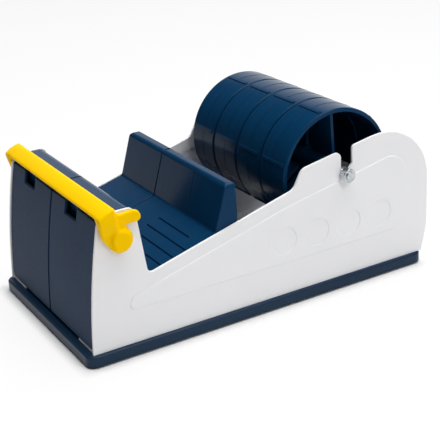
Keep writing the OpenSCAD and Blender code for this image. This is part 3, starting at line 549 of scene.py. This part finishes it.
FLOOR_REACH = 6.0
floor_corners = [(x * FLOOR_REACH, y * FLOOR_REACH, 0) for x, y in ((-1, -1), (1, -1), (1, 1), (-1, 1))]
floor_mesh = bpy.data.meshes.new("studio_floor")
floor_mesh.from_pydata(floor_corners, [], [(0, 1, 2, 3)])
studio_floor = bpy.data.objects.new("studio_floor", floor_mesh)
scene.collection.objects.link(studio_floor)

# White paper sweep: shows white to the eye, and keeps the object's soft shadow at the plinth's foot
PAPER_GLOW = 0.84
SHADOW_REACH = 8 * MM
foot_low, foot_high = (Vector(c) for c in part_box("base_plinth"))
paper = bpy.data.materials.new("white_paper_sweep")
paper.use_nodes = True
tree = paper.node_tree
tree.nodes.remove(tree.nodes["Principled BSDF"])
matt = add(tree, "ShaderNodeBsdfDiffuse", {"Color": colour("#F0F0F0")})
glow = add(tree, "ShaderNodeEmission", {"Color": (1, 1, 1, 1), "Strength": 1.0})
path = add(tree, "ShaderNodeLightPath")
seen = add(tree, "ShaderNodeMath",
           {0: path.outputs["Is Camera Ray"], 1: path.outputs["Is Glossy Ray"]}, operation="MAXIMUM")
seen = add(tree, "ShaderNodeMath",
           {0: seen.outputs[0], 1: path.outputs["Is Transmission Ray"]}, operation="MAXIMUM")
place = add(tree, "ShaderNodeTexCoord")
flat = add(tree, "ShaderNodeVectorMath",
           {0: place.outputs["Object"], 1: ((foot_low + foot_high) / 2).xy.to_3d()}, operation="SUBTRACT")
mirrored = add(tree, "ShaderNodeVectorMath", {0: flat.outputs[0]}, operation="ABSOLUTE")
past_edge = add(tree, "ShaderNodeVectorMath",
                {0: mirrored.outputs[0], 1: ((foot_high - foot_low) / 2).xy.to_3d()}, operation="SUBTRACT")
outside = add(tree, "ShaderNodeVectorMath", {0: past_edge.outputs[0]}, operation="MAXIMUM")
away = add(tree, "ShaderNodeVectorMath", {0: outside.outputs[0]}, operation="LENGTH")
clear = add(tree, "ShaderNodeMapRange",
            {"Value": away.outputs["Value"], "From Max": SHADOW_REACH, "To Max": PAPER_GLOW},
            interpolation_type="SMOOTHSTEP")
share = add(tree, "ShaderNodeMath",
            {0: seen.outputs[0], 1: clear.outputs["Result"]}, operation="MULTIPLY")
both = add(tree, "ShaderNodeMixShader", {0: share.outputs[0], 1: matt.outputs[0], 2: glow.outputs[0]})
tree.links.new(both.outputs[0], tree.nodes["Material Output"].inputs["Surface"])
floor_mesh.materials.append(paper)

# Studio air: a pale backdrop behind the object, in an otherwise dim room
BACKDROP_LEVEL = 1.0
ROOM_LEVEL = 0.05
BACKDROP_TOP, CEILING_START = (math.sin(math.radians(a)) for a in (25, 32))
BACKDROP_AIM = (-0.87, 0.49, 0.0)
BACKDROP_SIDE, BACKDROP_FULL = (math.cos(math.radians(a)) for a in (54, 30))
world = bpy.data.worlds.new("studio_air")
scene.world = world
world.use_nodes = True
tree = world.node_tree
air = tree.nodes["Background"]
air.inputs["Color"].default_value = (1, 1, 1, 1)
looking = add(tree, "ShaderNodeTexCoord")
heights = add(tree, "ShaderNodeSeparateXYZ", {0: looking.outputs["Generated"]})
below_ceiling = add(tree, "ShaderNodeMapRange",
                    {"Value": heights.outputs["Z"], "From Min": BACKDROP_TOP, "From Max": CEILING_START,
                     "To Min": 1.0, "To Max": 0.0}, interpolation_type="SMOOTHSTEP")
facing = add(tree, "ShaderNodeVectorMath", {0: looking.outputs["Generated"], 1: BACKDROP_AIM},
             operation="DOT_PRODUCT")
behind = add(tree, "ShaderNodeMapRange",
             {"Value": facing.outputs["Value"], "From Min": BACKDROP_SIDE, "From Max": BACKDROP_FULL},
             interpolation_type="SMOOTHSTEP")
backdrop = add(tree, "ShaderNodeMath",
               {0: below_ceiling.outputs["Result"], 1: behind.outputs["Result"]}, operation="MULTIPLY")
room = add(tree, "ShaderNodeMapRange",
           {"Value": backdrop.outputs[0], "To Min": ROOM_LEVEL, "To Max": BACKDROP_LEVEL})
tree.links.new(room.outputs["Result"], air.inputs["Strength"])

# Camera at the photograph's angle, for a square picture
CAMERA_PLACE = (0.547513, -0.304960, 0.301744)
CAMERA_TURNS = (60.436, 22.888, -3.223)
LENS_MM = 90.35
SENSOR_MM = 36
NEAREST_SEEN = 10 * MM
azimuth, elevation, roll = (math.radians(turn) for turn in CAMERA_TURNS)
back = Vector((math.sin(azimuth) * math.cos(elevation), -math.cos(azimuth) * math.cos(elevation),
               math.sin(elevation)))
right = Vector((math.cos(azimuth), math.sin(azimuth), 0))
up = back.cross(right)
turned_right = math.cos(roll) * right + math.sin(roll) * up
turned_up = math.cos(roll) * up - math.sin(roll) * right
lens = bpy.data.cameras.new("camera")
lens.lens = LENS_MM
lens.sensor_width = SENSOR_MM
lens.clip_start = NEAREST_SEEN
camera = bpy.data.objects.new("camera", lens)
axes = Matrix((turned_right, turned_up, back)).transposed().to_4x4()
camera.matrix_world = Matrix.Translation(CAMERA_PLACE) @ axes
scene.collection.objects.link(camera)
scene.camera = camera

scene.view_settings.view_transform = "Standard"
